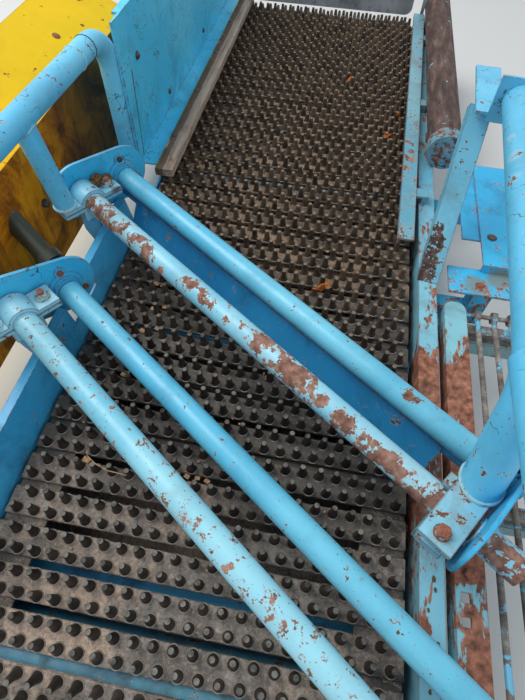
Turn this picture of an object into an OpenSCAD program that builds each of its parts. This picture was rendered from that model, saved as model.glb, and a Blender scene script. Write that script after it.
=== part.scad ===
// Separating belt unit of a potato harvester.
// A rubber pin belt runs between two side frames. Two deflectors lie across it at an angle:
// each is a carrying tube in clamps, two end plates, a turning roller and a hanging sheet.
// x runs across the belt, y along its travel, z up. The origin is on the floor, mid belt.

/* [Belt] */
// Number of slats in the whole loop
slat_count = 80; // [70:1:90]
// Distance from one slat to the next along the belt
slat_pitch = 60; // [58:0.5:63]
// Width of the belt across the machine
belt_w = 668; // [620:1:680]
// Length of one slat along the travel
slat_len = 47.5; // [44:0.5:50]
// Thickness of a slat
slat_t = 8; // [6:0.5:9]
// Thickness of the band that carries the slats
band_t = 6; // [4:0.5:8]
// Width of each of the two bands under the slats' ends
band_w = 74; // [60:1:90]
// Height of the rows of pins over the slat
pin_h = 30; // [20:1:31]
// Thickness of a row of pins at its foot
pin_base = 17; // [12:0.5:18]
// Thickness of a row of pins at its tip
pin_tip = 9; // [5:0.5:11]
// Distance between the two rows of pins on a slat
row_gap = 28; // [22:0.5:29]
// Radius of the belt's turn, to the middle of its band
turn_r = 72; // [60:1:76]
// Height of the slats' upper faces over the floor
belt_z = 220; // [216:1:240]

/* [Side frames] */
// Thickness of the folded plates
plate_t = 5; // [4:0.5:6]
// Gap from the belt's edge to the left plate
left_gap = 6; // [5:0.5:9]
// Gap from the belt's edge to the right plate
right_gap = 16; // [12:0.5:19]
// Width of the right frame's flanges
flange_w = 40; // [34:1:44]
// Height of the right frame's top over the slats
right_rise = 20; // [16:1:22]
// Height of the low left wall over the slats
low_wall_h = 85; // [70:1:87]
// Outward lean of the low left wall at its top
low_wall_lean = 15; // [8:1:18]
// Height of the tall left wall over the slats
tall_wall_h = 370; // [300:5:420]
// Radius of a mounting bolt hole in the side plates
mount_hole_r = 8.75; // [6:0.25:10]
// Spacing of the mounting holes along the frame
mount_dy = 160; // [120:5:200]
// Spacing of the mounting holes up the frame
mount_dz = 60; // [40:5:80]

/* [Deflectors] */
// Angle between the deflectors and the line across the belt
lay_angle = 35.5; // [33:0.5:38]
// Height of the carrying tubes' axes over the slats
tube_rise = 142; // [138:1:150]
// Radius of the carrying tubes and rollers
tube_r = 22.25; // [20:0.25:23]
// Wall of the carrying tubes
tube_wall = 3.2; // [2:0.1:5]
// Distance from a carrying tube's axis to its roller's axis
arm = 106; // [104:0.5:112]
// Radius of the end plates' round ends
end_r = 64; // [56:1:66]
// Thickness of the end plates
end_t = 8; // [6:0.5:9]
// Radius of the rollers' shaft ends
shaft_r = 12.5; // [10:0.5:14]
// Gap between a sheet's lower edge and the tips of the pins
sheet_gap = 8; // [7:0.5:14]

/* [Guards] */
// Radius of the left guard rail
rail_r = 24; // [20:0.5:26]
// Radius of the right guard rail and its posts
post_r = 30; // [26:0.5:30]
// Height of the guard rails over the slats
rail_rise = 350; // [320:5:400]
// Radius of the rods of the side grate
rod_r = 5.5; // [4:0.25:7]
// Distance from rod to rod
rod_pitch = 36; // [32:1:40]
// Number of rods
rod_count = 4; // [3:1:4]

/* [Hidden] */
$fn = 48;
// Clearance round a tube that turns in its clamp
turn_fit = 0.1;
// Clearance round a shaft that runs in its bearing
run_fit = 0.05;
// Clearance at a curved seat between two solids
seat_gap = 0.3;

// Belt levels and lengths
axis_z = belt_z - slat_t - band_t / 2 - turn_r;
run_l = (slat_count * slat_pitch - 2 * PI * turn_r) / 2;
turn_l = PI * turn_r;
near_y = -run_l / 2;
far_y = run_l / 2;
inner_r = turn_r - band_t / 2;
first_slat = 31.7;

// Side frames
near_end = round(near_y - 113);
far_end = round(far_y + 73);
left_x = -belt_w / 2 - left_gap;
right_x = belt_w / 2 + right_gap;
tall_y = 13;
low_wall_end = -190;
tall_x = left_x - 56;
ledge_z = belt_z + pin_h + 5;

// Deflector units: columns are the belt-centre crossing, the arm's rest angle,
// the sheet's top and bottom edge beyond the roller's axis, its left and right end
// in from the end plates
UNIT_Y = 0;
UNIT_TILT = 1;
UNIT_TOP = 2;
UNIT_FOOT = 3;
UNIT_LEFT = 4;
UNIT_RIGHT = 5;
units = [[-551.5, -4.5, -7.7, -36.7, 63, 102],
    [-879.6, -15.5, 1.9, -2.1, 53, 82]];
tube_z = belt_z + tube_rise;
// Places along the slanted tubes, from where they cross the side frames
function at_side(x) = round(x / cos(lay_angle));
left_plate = at_side(left_x - 79);
right_plate = at_side(right_x + 42.5);
left_clamp = at_side(left_x - 55);
right_clamp = at_side(right_x + 14);
tube_left = at_side(left_x - 116);
tube_right = at_side(right_x + 102);

// Belt outline: a place along the loop is [y, z, turned angle]
function place(u) =
    u < run_l ? [near_y + u, axis_z + turn_r, 0] :
    u < run_l + turn_l ? far_turn((u - run_l) / turn_r * 180 / PI) :
    u < 2 * run_l + turn_l ? [far_y - (u - run_l - turn_l), axis_z - turn_r, 180] :
    near_turn((u - 2 * run_l - turn_l) / turn_r * 180 / PI);
function far_turn(a) = [far_y + turn_r * sin(a), axis_z + turn_r * cos(a), a];
function near_turn(a) = [near_y - turn_r * sin(a), axis_z - turn_r * cos(a), 180 + a];
function on_slat(p, s, v) = [p[0] + s * cos(p[2]) + v * sin(p[2]),
    p[1] - s * sin(p[2]) + v * cos(p[2])];
// One slat's section: along the travel, out from the middle of the band
half_slat = slat_len / 2;
slat_foot = band_t / 2;
slat_top = band_t / 2 + slat_t;
tip_top = slat_top + pin_h;
slat_section = [[-half_slat, slat_foot], [-half_slat, slat_top],
    each [for (side = [-1, 1]) each [
        [side * row_gap / 2 - pin_base / 2, slat_top],
        [side * row_gap / 2 - pin_tip / 2, tip_top],
        [side * row_gap / 2 + pin_tip / 2, tip_top],
        [side * row_gap / 2 + pin_base / 2, slat_top]]],
    [half_slat, slat_top], [half_slat, slat_foot]];

// Moves a drawing's x to y and its y to z, and lays its depth along x
module across() rotate([90, 0, 90]) children();
// Moves a drawing's x to x and its y to z, and lays its depth along -y
module along() rotate([90, 0, 0]) children();

module box(from, to) translate(from) cube(to - from);

// A rod between two points
module rod(a, b, r) {
    d = b - a;
    translate(a)
        rotate([0, acos(d[2] / norm(d)), atan2(d[1], d[0])])
            cylinder(r = r, h = norm(d));
}

// A bent pipe in the y-z plane through the points, with round corners
function turn_at(p, i) = let (
    a = p[i] - p[i - 1],
    b = p[i + 1] - p[i]) atan2(a[0] * b[1] - a[1] * b[0], a * b);
function cut_at(p, i, bend) =
    i == 0 || i == len(p) - 1 ? 0 : bend * tan(abs(turn_at(p, i)) / 2);
module pipe(p, r, bend) {
    for (i = [0 : len(p) - 2]) {
        d = (p[i + 1] - p[i]) / norm(p[i + 1] - p[i]);
        a = p[i] + d * cut_at(p, i, bend);
        b = p[i + 1] - d * cut_at(p, i + 1, bend);
        rod([0, a[0], a[1]], [0, b[0], b[1]], r);
    }
    for (i = [1 : len(p) - 2]) {
        d = (p[i] - p[i - 1]) / norm(p[i] - p[i - 1]);
        turn = turn_at(p, i);
        side = sign(turn);
        from = p[i] - d * cut_at(p, i, bend);
        centre = from + side * bend * [-d[1], d[0]];
        first = atan2(d[1], d[0]) - side * 90;
        translate([0, centre[0], centre[1]])
            across()
                rotate([0, 0, min(first, first + turn)])
                    rotate_extrude(angle = abs(turn))
                        translate([bend, 0])
                            circle(r = r);
    }
}

// A deflector's own frame: x along its tube to the right, y to the far side
module in_unit(u) translate([0, u[UNIT_Y], tube_z]) rotate([0, 0, -lay_angle]) children();
function roller_at(u) = [arm * cos(u[UNIT_TILT]), arm * sin(u[UNIT_TILT])];
module bar_x(x0, x1, r) translate([x0, 0, 0]) rotate([0, 90, 0]) cylinder(r = r, h = x1 - x0);
// Where a point of a unit's own frame lies in the machine
function from_unit(u, x, y) = [x * cos(lay_angle) + y * sin(lay_angle),
    u[UNIT_Y] - x * sin(lay_angle) + y * cos(lay_angle)];

// The band's inner side: flats that touch the rollers, over both turns
flats = 24;
function half_turn(y, first, r) = [for (i = [0 : flats - 1])
    let (a = first + (i + 0.5) * 180 / flats)
        [y + r * sin(a), axis_z + r * cos(a)]];
function inner_outline(r) = concat(half_turn(far_y, 0, r), half_turn(near_y, 180, r));

// The cut under the slats reaches a little past their ends and into their undersides
cut_past = 1;
cut_into = 0.4;
module belt() color([0.25, 0.22, 0.19]) across() difference() {
    linear_extrude(belt_w, center = true) difference() {
        polygon([for (k = [0 : slat_count - 1]) each
            let (p = place(first_slat + k * slat_pitch))
                [for (q = slat_section) on_slat(p, q[0], q[1])]]);
        polygon(inner_outline(inner_r / cos(90 / flats)));
    }
    // between the two edge bands only the slats cross the belt
    linear_extrude(belt_w - 2 * band_w, center = true)
        polygon([for (k = [0 : slat_count - 1]) each
            let (u = first_slat + k * slat_pitch)
                [on_slat(place(u), -half_slat - cut_past, slat_foot + cut_into),
                 on_slat(place(u), half_slat + cut_past, slat_foot + cut_into)]]);
}

// Shafts at both ends of the belt, with the plain roller near and the drive roller far
shaft_out = 78;
end_shaft_r = 15;
drive_end_r = 14;
module near_roller() color([0.2, 0.5, 0.65]) translate([0, near_y, axis_z]) {
    bar_x(-belt_w / 2 + 4, belt_w / 2 - 4, inner_r);
    bar_x(left_x - 45, right_x + 45, end_shaft_r);
}
module drive_roller() color([0.3, 0.3, 0.3]) translate([0, far_y, axis_z]) {
    bar_x(-belt_w / 2 + 4, belt_w / 2 - 4, inner_r);
    bar_x(left_x - 45, right_x + 33, end_shaft_r);
    bar_x(right_x + 33, right_x + flange_w + shaft_out, drive_end_r);
}

carry_y = [-720, -160, 400, 900];
carry_r = 25;
carry_z = belt_z - slat_t - band_t - carry_r;
module carrying_rollers() color([0.35, 0.33, 0.32]) for (y = carry_y) translate([0, y, carry_z]) {
    bar_x(-belt_w / 2 + 4, belt_w / 2 - 4, carry_r);
    bar_x(left_x, right_x, 10);
}

cross_y = [-955, -440, 120, 650];
cross_r = 24;
cross_z = axis_z + 6;
module cross_tubes() color([0.2, 0.5, 0.72]) for (y = cross_y)
    translate([0, y, cross_z]) bar_x(left_x, right_x, cross_r);

// Both side plates carry the shafts and the mounting holes
mount_y = [near_end + 330, far_end - 330];
module plate_holes(x) {
    for (y = mount_y) for (sy = [-1, 1]) for (sz = [-1, 1])
        translate([x, y + sy * mount_dy / 2, axis_z + sz * mount_dz / 2])
            bar_x(-20, 20, mount_hole_r);
    for (y = [near_y, far_y]) translate([x, y, axis_z]) bar_x(-20, 20, end_shaft_r + 6);
}

module side_frame_left() color([0.25, 0.56, 0.76]) difference() {
    union() {
        // low section along the whole length
        translate([0, far_end, 0]) along() linear_extrude(far_end - near_end) polygon([
            [left_x, 0], [left_x - 45, 0], [left_x - 45, plate_t], [left_x - plate_t, plate_t],
            [left_x - plate_t, belt_z], [left_x, belt_z]]);
        // leaning wall over the near part
        translate([0, low_wall_end, 0]) along() linear_extrude(low_wall_end - near_end) polygon([
            [left_x, belt_z - 1], [left_x - plate_t, belt_z - 1],
            [left_x - plate_t - low_wall_lean, belt_z + low_wall_h - plate_t],
            [left_x - plate_t - low_wall_lean - 12, belt_z + low_wall_h - plate_t],
            [left_x - plate_t - low_wall_lean - 12, belt_z + low_wall_h],
            [left_x - low_wall_lean, belt_z + low_wall_h]]);
        // upright part under the tall wall
        box([left_x - plate_t, tall_y, belt_z - 1], [left_x, far_end, ledge_z]);
        // arms under the left clamps
        for (u = units) {
            c = from_unit(u, left_clamp, 0);
            translate([0, c[1], 0]) along() linear_extrude(12) polygon([
                [left_x - plate_t, 110], [left_x - plate_t, belt_z - 25],
                [left_x - 42, belt_z + low_wall_h], [left_x - 42, tube_z - 34],
                [c[0] - 26, tube_z - 34], [c[0] - 26, belt_z + 60]]);
        }
    }
    plate_holes(left_x);
    // the second deflector's end passes through the wall here
    box([left_x - 60, units[1][UNIT_Y] + 350, belt_z + 38],
        [left_x + 20, units[1][UNIT_Y] + 462, belt_z + 120]);
}

module side_frame_right() color([0.4, 0.5, 0.55]) difference() {
    union() {
        translate([0, far_end, 0]) along() linear_extrude(far_end - near_end) polygon([
            [right_x, 0], [right_x + flange_w, 0], [right_x + flange_w, plate_t],
            [right_x + plate_t, plate_t], [right_x + plate_t, belt_z + right_rise - plate_t],
            [right_x + flange_w, belt_z + right_rise - plate_t],
            [right_x + flange_w, belt_z + right_rise], [right_x, belt_z + right_rise]]);
    }
    plate_holes(right_x);
}

bearing_r = 46;
module shaft_bearings() color([0.3, 0.45, 0.5]) for (y = [near_y, far_y])
    translate([0, y, axis_z]) difference() {
        union() {
            bar_x(left_x - plate_t - 8, left_x - plate_t, bearing_r);
            bar_x(left_x - plate_t - 26, left_x - plate_t - 8, 32);
            bar_x(right_x + plate_t, right_x + plate_t + 8, bearing_r);
            bar_x(right_x + plate_t + 8, right_x + plate_t + 26, 32);
        }
        bar_x(left_x - 80, right_x + 80, end_shaft_r + run_fit);
    }

// Tall wall with its ledge, a foot for the guard rail and a long hole
module tall_wall() color([0.28, 0.6, 0.8]) difference() {
    union() {
        box([tall_x, tall_y, ledge_z], [tall_x + plate_t, far_end, belt_z + tall_wall_h]);
        box([tall_x, tall_y, ledge_z], [left_x + 14, far_end, ledge_z + plate_t]);
        box([tall_x - 50, tall_y - 20, ledge_z], [tall_x + 10, tall_y + 40, ledge_z + plate_t]);
        box([tall_x - 14, tall_y + 50, belt_z + tall_wall_h - plate_t],
            [tall_x + 1, far_end, belt_z + tall_wall_h]);
    }
    translate([tall_x, 560, belt_z + 290]) across()
        translate([0, 0, -10]) linear_extrude(30) union() {
            circle(r = 24);
            translate([120, 0]) circle(r = 24);
            translate([0, -24]) square([120, 48]);
        }
}

board_w = 46;
board_t = 20;
module sealing_board() color([0.48, 0.42, 0.36])
    box([left_x + 5, tall_y - 45, ledge_z + plate_t],
        [left_x + 5 + board_w, far_y + 20, ledge_z + plate_t + board_t]);

// Grey flap over the far turn, on a bar between the tall wall and a post
module end_flap() color([0.45, 0.46, 0.47]) {
    y = far_y + 30;
    translate([0, y, 0]) along() linear_extrude(6) union() {
        translate([-270, belt_z + 60]) circle(r = 26);
        translate([290, belt_z + 60]) circle(r = 26);
        translate([-270, belt_z + 34]) square([560, 60]);
        translate([-296, belt_z + 60]) square([612, 110]);
    }
    box([tall_x + plate_t, y, belt_z + 150], [right_x + 30, y + 6, belt_z + 190]);
    box([right_x, y, belt_z + right_rise], [right_x + 12, y + 6, belt_z + 150]);
}

// Left guard rail: two legs and a long rail, with a brace down to each clamp
rail_x = tall_x - rail_r - seat_gap;
rail_z = belt_z + rail_rise;
left_yaw = 3;
rail_y0 = tall_y + 10;
rail_near = near_end + 60 - rail_y0;
brace_r = 21;
leg_foot = 196;
module guard_rail_left() color([0.33, 0.68, 0.88]) {
    translate([rail_x, rail_y0, 0]) rotate([0, 0, -left_yaw])
        pipe([[0, ledge_z + plate_t], [0, rail_z], [rail_near, rail_z], [rail_near, leg_foot]],
            rail_r, 75);
    box([rail_x + rail_near * sin(left_yaw) - 30, near_end + 30, leg_foot - 8],
        [left_x - plate_t, near_end + 90, leg_foot]);
    for (u = units) {
        foot = from_unit(u, left_clamp, -54);
        top = [rail_x + (foot[1] - 16 - rail_y0) * sin(left_yaw), foot[1] - 16, rail_z];
        lean = norm([top[0] - foot[0], top[1] - foot[1]]) / (rail_z - tube_z);
        ahead = [100 * sin(left_yaw), 100 * cos(left_yaw), 0];
        // each brace stands with its lower rim on the clamp's flange, saddled under the rail
        difference() {
            rod([foot[0], foot[1], tube_z + 9 + seat_gap + brace_r * lean], top, brace_r);
            rod(top - ahead, top + ahead, rail_r + seat_gap);
        }
    }
}

// Clamps: two halves round the tube, drawn together by two bolts
clamp_w = 50;
clamp_r = tube_r + 8;
module clamps_left() color([0.35, 0.68, 0.86]) for (u = units) in_unit(u)
    translate([left_clamp, 0, 0]) {
        difference() {
            union() {
                bar_x(-clamp_w / 2, clamp_w / 2, clamp_r);
                box([-clamp_w / 2, -70, -9], [clamp_w / 2, 70, 9]);
                box([-clamp_w / 2, -30, -34], [clamp_w / 2, 30, 0]);
            }
            bar_x(-60, 60, tube_r + turn_fit);
            box([-60, -90, -1], [60, 90, 1]);
        }
        for (y = [-48, 50]) translate([0, y, -19]) {
            cylinder(r = 6, h = y < 0 ? 28 : 44);
            cylinder(r = 10.5, h = 10, $fn = 6);
            if (y > 0) translate([0, 0, 28]) cylinder(r = 10.5, h = 9, $fn = 6);
        }
    }

// Right clamps: a flat bar over the tube, on a pedestal with a round seat
bar_half = 26;
module clamps_right() color([0.4, 0.68, 0.82]) for (u = units) in_unit(u)
    translate([right_clamp, 0, 0]) {
        box([-bar_half, -68, tube_r + turn_fit], [bar_half, 78, tube_r + 10]);
        difference() {
            rotate([90, 0, 90]) linear_extrude(40, center = true) polygon([
                [-62, -4], [-62, -18], [-24, -60], [-20, belt_z + right_rise - tube_z],
                [20, belt_z + right_rise - tube_z], [24, -60], [62, -18], [62, -4]]);
            bar_x(-60, 60, tube_r + turn_fit);
        }
        translate([0, -49, -26]) cylinder(r = 6, h = tube_r + 35.75);
        translate([0, -49, tube_r + 10]) cylinder(r = 11, h = 8, $fn = 6);
        translate([0, -49, -26]) cylinder(r = 10.5, h = 10, $fn = 6);
        translate([-6, 49, -26]) cylinder(r = 6, h = tube_r + 27.75);
    }

// Right guard rail: a leaning post on each clamp and a rail that bends down at its far end
post_lean = 0.38;
post_y = 50;
rail_yaw = 4.1;
module guard_rail_right() color([0.33, 0.68, 0.88]) {
    near_foot = from_unit(units[1], right_clamp, post_y);
    far_foot = from_unit(units[0], right_clamp, post_y);
    z0 = tube_z + tube_r + 10;
    rise = rail_z - z0;
    lean = post_lean * rise;
    difference() {
        union() {
            translate([far_foot[0], far_foot[1], 0]) rotate([0, 0, -rail_yaw]) {
                pipe([[-8, z0 - 8 / post_lean], [lean, rail_z], [700, rail_z]], post_r, 80);
                box([-45, 699, rail_z - 48], [45, 705, rail_z + 40]);
                box([-68, 700, rail_z - 36], [-16, 890, rail_z - 30]);
            }
            translate([near_foot[0], near_foot[1], 0])
                pipe([[-8, z0 - 8 / post_lean], [lean, rail_z], [420, rail_z]], post_r, 80);
        }
        box([right_x - 60, near_end - 60, z0 - 120], [right_x + 140, -500, z0]);
    }
}

// Angle section from the frame's top flange up to the rail's far end
module diagonal_brace() color([0.3, 0.62, 0.82]) {
    a = [right_x + 20, -255, belt_z + right_rise - 12];
    b = [right_x + 46, -18, rail_z - 36];
    d = b - a;
    difference() {
        translate(a) rotate([0, 0, atan2(d[1], d[0]) - 90])
            rotate([atan2(d[2], norm([d[0], d[1]])), 0, 0]) {
                translate([-24, -4, 0]) cube([46, norm(d) - 4, 5]);
                translate([-24, -4, -38]) cube([5, norm(d) - 4, 40]);
            }
        box([right_x - 50, -400, 0], [right_x + 100, -100, belt_z + right_rise]);
    }
}

// Cover over the left side: an upright panel with a sloping hood
cover_x = left_x - 220;
module side_cover() color([0.93, 0.76, 0.02])
    translate([0, 500, 0]) along() linear_extrude(1540) polygon([
        [cover_x, belt_z - 120], [cover_x - 3, belt_z - 120], [cover_x - 3, belt_z + 197],
        [cover_x - 189, belt_z + 277], [cover_x - 189, belt_z + 190],
        [cover_x - 192, belt_z + 190], [cover_x - 192, belt_z + 281],
        [cover_x, belt_z + 200]]);
// Struts from the side plate out to the cover: columns are the outer and the inner end's y
struts = [[-325, -450], [330, 350]];
module cover_struts() color([0.14, 0.17, 0.14]) for (s = struts) {
    a = [cover_x, s[0], belt_z + 90];
    b = [left_x - plate_t, s[1], belt_z - 30];
    d = (b - a) / norm(b - a);
    difference() {
        union() {
            rod(a - 30 * d, b + 40 * d, 22);
            rod(a + 0.36 * (b - a), a + 0.44 * (b - a), 29);
        }
        box([cover_x - 100, s[0] - 200, 0], [cover_x, s[0] + 200, 500]);
        box([left_x - plate_t, s[1] - 200, 0], [left_x + 100, s[1] + 200, 500]);
    }
}

// Right edge guard strip with a folded lip, over the belt's edge
module edge_strip() color([0.35, 0.62, 0.78]) {
    z = belt_z + pin_h + 12;
    translate([belt_w / 2 - 21, -150, 0]) rotate([0, 0, -1.5]) {
        box([-19, 0, z], [19, 1250, z + 5]);
        box([-19, 0, z - 8], [-16, 1250, z + 2]);
    }
    for (y = [20, 460, 900]) {
        box([right_x - 22, y, z - 6], [right_x + 19, y + 34, z]);
        box([right_x + 4, y, belt_z + right_rise], [right_x + 19, y + 34, z - 2]);
    }
}

// Bars and grate to the right of the frame
bar_x0 = right_x + flange_w + 15;
bar_w = 48;
bar_end = -297;
module inner_bar() color([0.55, 0.36, 0.28]) difference() {
    union() {
        box([bar_x0, near_end, belt_z + right_rise - 40],
            [bar_x0 + bar_w, bar_end - bar_w / 2, belt_z + right_rise]);
        translate([bar_x0 + bar_w / 2, bar_end - bar_w / 2, belt_z + right_rise - 40])
            cylinder(r = bar_w / 2, h = 40);
    }
    box([bar_x0 + 4, near_end - 5, belt_z + right_rise - 50],
        [bar_x0 + bar_w - 4, bar_end - bar_w / 2, belt_z + right_rise - 5]);
    for (y = [-895, -928]) translate([bar_x0 + 16, y, belt_z]) box([-7, -7, 0], [7, 7, 60]);
}
rod_x0 = bar_x0 + bar_w + 31;
grate_x1 = rod_x0 + 4 * 36 + 4;
grate_far = -322;
arm_y = [near_end + 4, -760, -365];
module outer_bar() color([0.3, 0.55, 0.7]) {
    box([grate_x1, near_end, belt_z - 40], [grate_x1 + 6, bar_end, belt_z + right_rise]);
    for (y = arm_y) box([right_x + plate_t, y, belt_z - 70], [grate_x1 + 1, y + 36, belt_z - 32]);
    for (y = arm_y) box([bar_x0 + 8, y, belt_z - 33],
        [bar_x0 + bar_w - 8, y + 36, belt_z + right_rise - 5]);
}
module rod_grate() color([0.42, 0.42, 0.4]) {
    for (k = [0 : rod_count - 1]) {
        x = rod_x0 + k * rod_pitch;
        rod([x, near_end + 20, belt_z], [x, grate_far, belt_z], rod_r);
        translate([x, grate_far + 9, belt_z]) rotate([0, 90, 0])
            rotate([0, 0, 0]) translate([0, 0, -rod_r]) difference() {
                cylinder(r = 13, h = 2 * rod_r);
                translate([0, 0, -1]) cylinder(r = 5, h = 20);
            }
    }
    rod([bar_x0 + bar_w, grate_far + 9, belt_z], [grate_x1, grate_far + 9, belt_z], 5);
    for (y = arm_y) box([bar_x0 + bar_w, y + 6, belt_z - 32], [grate_x1, y + 30, belt_z - rod_r + 1]);
}

// Rusty tube beside the far half of the belt, with an end disc, on two rests
side_tube_x = right_x + 58;
side_tube_z = belt_z + 66;
module side_tube() color([0.42, 0.26, 0.2]) {
    difference() {
        rod([side_tube_x, 193, side_tube_z], [side_tube_x, far_end, side_tube_z], 45);
        rod([side_tube_x, 190, side_tube_z], [side_tube_x, far_end + 5, side_tube_z], 41);
    }
    difference() {
        rod([side_tube_x, 185, side_tube_z], [side_tube_x, 197, side_tube_z], 48);
        rod([side_tube_x, 180, side_tube_z], [side_tube_x, 200, side_tube_z], 14);
    }
    for (y = [300, 1000]) box([right_x + 20, y, belt_z + right_rise],
        [side_tube_x + 6, y + 50, side_tube_z - 44]);
}

// Deck plates beyond the grate, on posts from the right frame
module side_deck() color([0.22, 0.56, 0.78]) {
    z = belt_z + 60;
    box([bar_x0 + 75, -215, z], [bar_x0 + 160, 150, z + 4]);
    box([bar_x0 + 34, -136, z - 4], [bar_x0 + 80, 150, z]);
    box([bar_x0 + 4, -290, z - 22], [bar_x0 + 185, -212, z - 17]);
    box([bar_x0 + 75, -219, z - 22], [bar_x0 + 160, -215, z + 4]);
    for (y = [-285, 60]) {
        box([right_x + plate_t, y, belt_z - 60], [bar_x0 + 100, y + 40, belt_z - 20]);
        box([bar_x0 + 60, y, belt_z - 21], [bar_x0 + 100, y + 40, y < 0 ? z - 22 : z]);
    }
}

// Parts of one deflector
module end_plate(u, x) {
    q = roller_at(u);
    translate([x, 0, 0]) difference() {
        rotate([90, 0, 90]) linear_extrude(end_t) union() {
            circle(r = end_r);
            translate([q[0], q[1]]) circle(r = end_r);
            rotate([0, 0, u[UNIT_TILT]]) translate([0, -end_r]) square([arm, 2 * end_r]);
        }
        bar_x(-5, end_t + 5, tube_r);
        translate([0, q[0], q[1]]) bar_x(-5, end_t + 5, shaft_r + 8);
    }
}
module end_plates(u) color([0.2, 0.58, 0.8]) in_unit(u) {
    end_plate(u, left_plate - end_t);
    end_plate(u, right_plate);
}
module deflector_tube(u) color([0.45, 0.75, 0.9]) in_unit(u) difference() {
    bar_x(tube_left, tube_right, tube_r);
    bar_x(tube_left - 5, tube_right + 5, tube_r - tube_wall);
}
ring_h = 12;
module bearing_ring() {
    difference() {
        union() {
            across() linear_extrude(4) union() {
                circle(r = 36);
                for (a = [90, 210, 330]) rotate([0, 0, a]) translate([41, 0]) circle(r = 11);
            }
            bar_x(3, ring_h, 27);
        }
        bar_x(-5, ring_h + 5, shaft_r + run_fit);
    }
}
module roller_bearings(u) color([0.25, 0.5, 0.62]) in_unit(u) {
    q = roller_at(u);
    translate([left_plate, q[0], q[1]]) bearing_ring();
    translate([right_plate, q[0], q[1]]) mirror([1, 0, 0]) bearing_ring();
}
module deflector_roller(u) color([0.3, 0.68, 0.9]) in_unit(u) {
    q = roller_at(u);
    translate([0, q[0], q[1]]) {
        bar_x(left_plate + ring_h + 5, right_plate - ring_h - 5, tube_r);
        bar_x(left_plate - end_t - 14, right_plate + end_t + 14, shaft_r);
    }
}
// Sheet under the roller, hung from a flat bar that joins the end plates
module deflector_sheet(u) color([0.1, 0.38, 0.6]) in_unit(u) {
    q = roller_at(u);
    top = q[1] - tube_r - 3;
    bar_top = q[1] - 36.5;
    foot = belt_z + pin_h + sheet_gap - tube_z;
    box([left_plate, q[0] - 12, bar_top - 6], [right_plate, q[0] + 8, bar_top]);
    translate([left_plate + u[UNIT_LEFT], q[0], 0]) rotate([90, 0, 90])
        linear_extrude(right_plate - u[UNIT_RIGHT] - left_plate - u[UNIT_LEFT]) polygon([
            [u[UNIT_TOP] - 4, top - 5], [u[UNIT_FOOT] - 4, foot],
            [u[UNIT_FOOT], foot], [u[UNIT_TOP], top - 5]]);
}

side_frame_left();
side_frame_right();
cross_tubes();
belt();
near_roller();
drive_roller();
carrying_rollers();
shaft_bearings();
tall_wall();
sealing_board();
end_flap();
guard_rail_left();
guard_rail_right();
diagonal_brace();
side_cover();
cover_struts();
edge_strip();
inner_bar();
outer_bar();
rod_grate();
side_tube();
side_deck();
clamps_left();
clamps_right();
deflector_tube(units[0]);  // deflector_tube_1
end_plates(units[0]);  // end_plates_1
roller_bearings(units[0]);  // roller_bearings_1
deflector_sheet(units[0]);  // deflector_sheet_1
deflector_roller(units[0]);  // deflector_roller_1
deflector_tube(units[1]);  // deflector_tube_2
end_plates(units[1]);  // end_plates_2
roller_bearings(units[1]);  // roller_bearings_2
deflector_sheet(units[1]);  // deflector_sheet_2
deflector_roller(units[1]);  // deflector_roller_2
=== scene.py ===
# Looks of the separating belt unit: rubber slats with their pins, worn paint, rust, bolts and dirt.
# All lengths are metres in the model's frame: x across the belt, y along its travel, z up.
import math
import random
import bpy
import numpy as np
from mathutils import Matrix, Vector, noise


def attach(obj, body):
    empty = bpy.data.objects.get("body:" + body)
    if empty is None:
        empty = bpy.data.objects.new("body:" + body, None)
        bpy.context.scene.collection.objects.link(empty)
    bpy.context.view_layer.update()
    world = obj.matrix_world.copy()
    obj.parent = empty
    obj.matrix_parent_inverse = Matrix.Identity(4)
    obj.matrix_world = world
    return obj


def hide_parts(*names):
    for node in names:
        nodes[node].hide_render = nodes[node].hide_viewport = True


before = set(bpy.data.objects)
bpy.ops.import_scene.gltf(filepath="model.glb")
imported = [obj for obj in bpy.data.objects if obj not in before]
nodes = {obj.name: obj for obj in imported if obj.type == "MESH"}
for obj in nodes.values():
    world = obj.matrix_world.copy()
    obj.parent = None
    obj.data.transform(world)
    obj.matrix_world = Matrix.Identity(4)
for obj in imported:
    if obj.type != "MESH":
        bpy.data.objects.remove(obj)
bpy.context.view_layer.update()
scene = bpy.context.scene
rng = random.Random(11)
UP = Vector((0.0, 0.0, 1.0))
RIGHT = Vector((1.0, 0.0, 0.0))


# Colours are written as on a screen, from 0 to 255
def tone(red, green, blue):
    def linear(v):
        v = v / 255.0
        return v / 12.92 if v <= 0.04045 else ((v + 0.055) / 1.055) ** 2.4
    return (linear(red), linear(green), linear(blue), 1.0)


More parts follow.
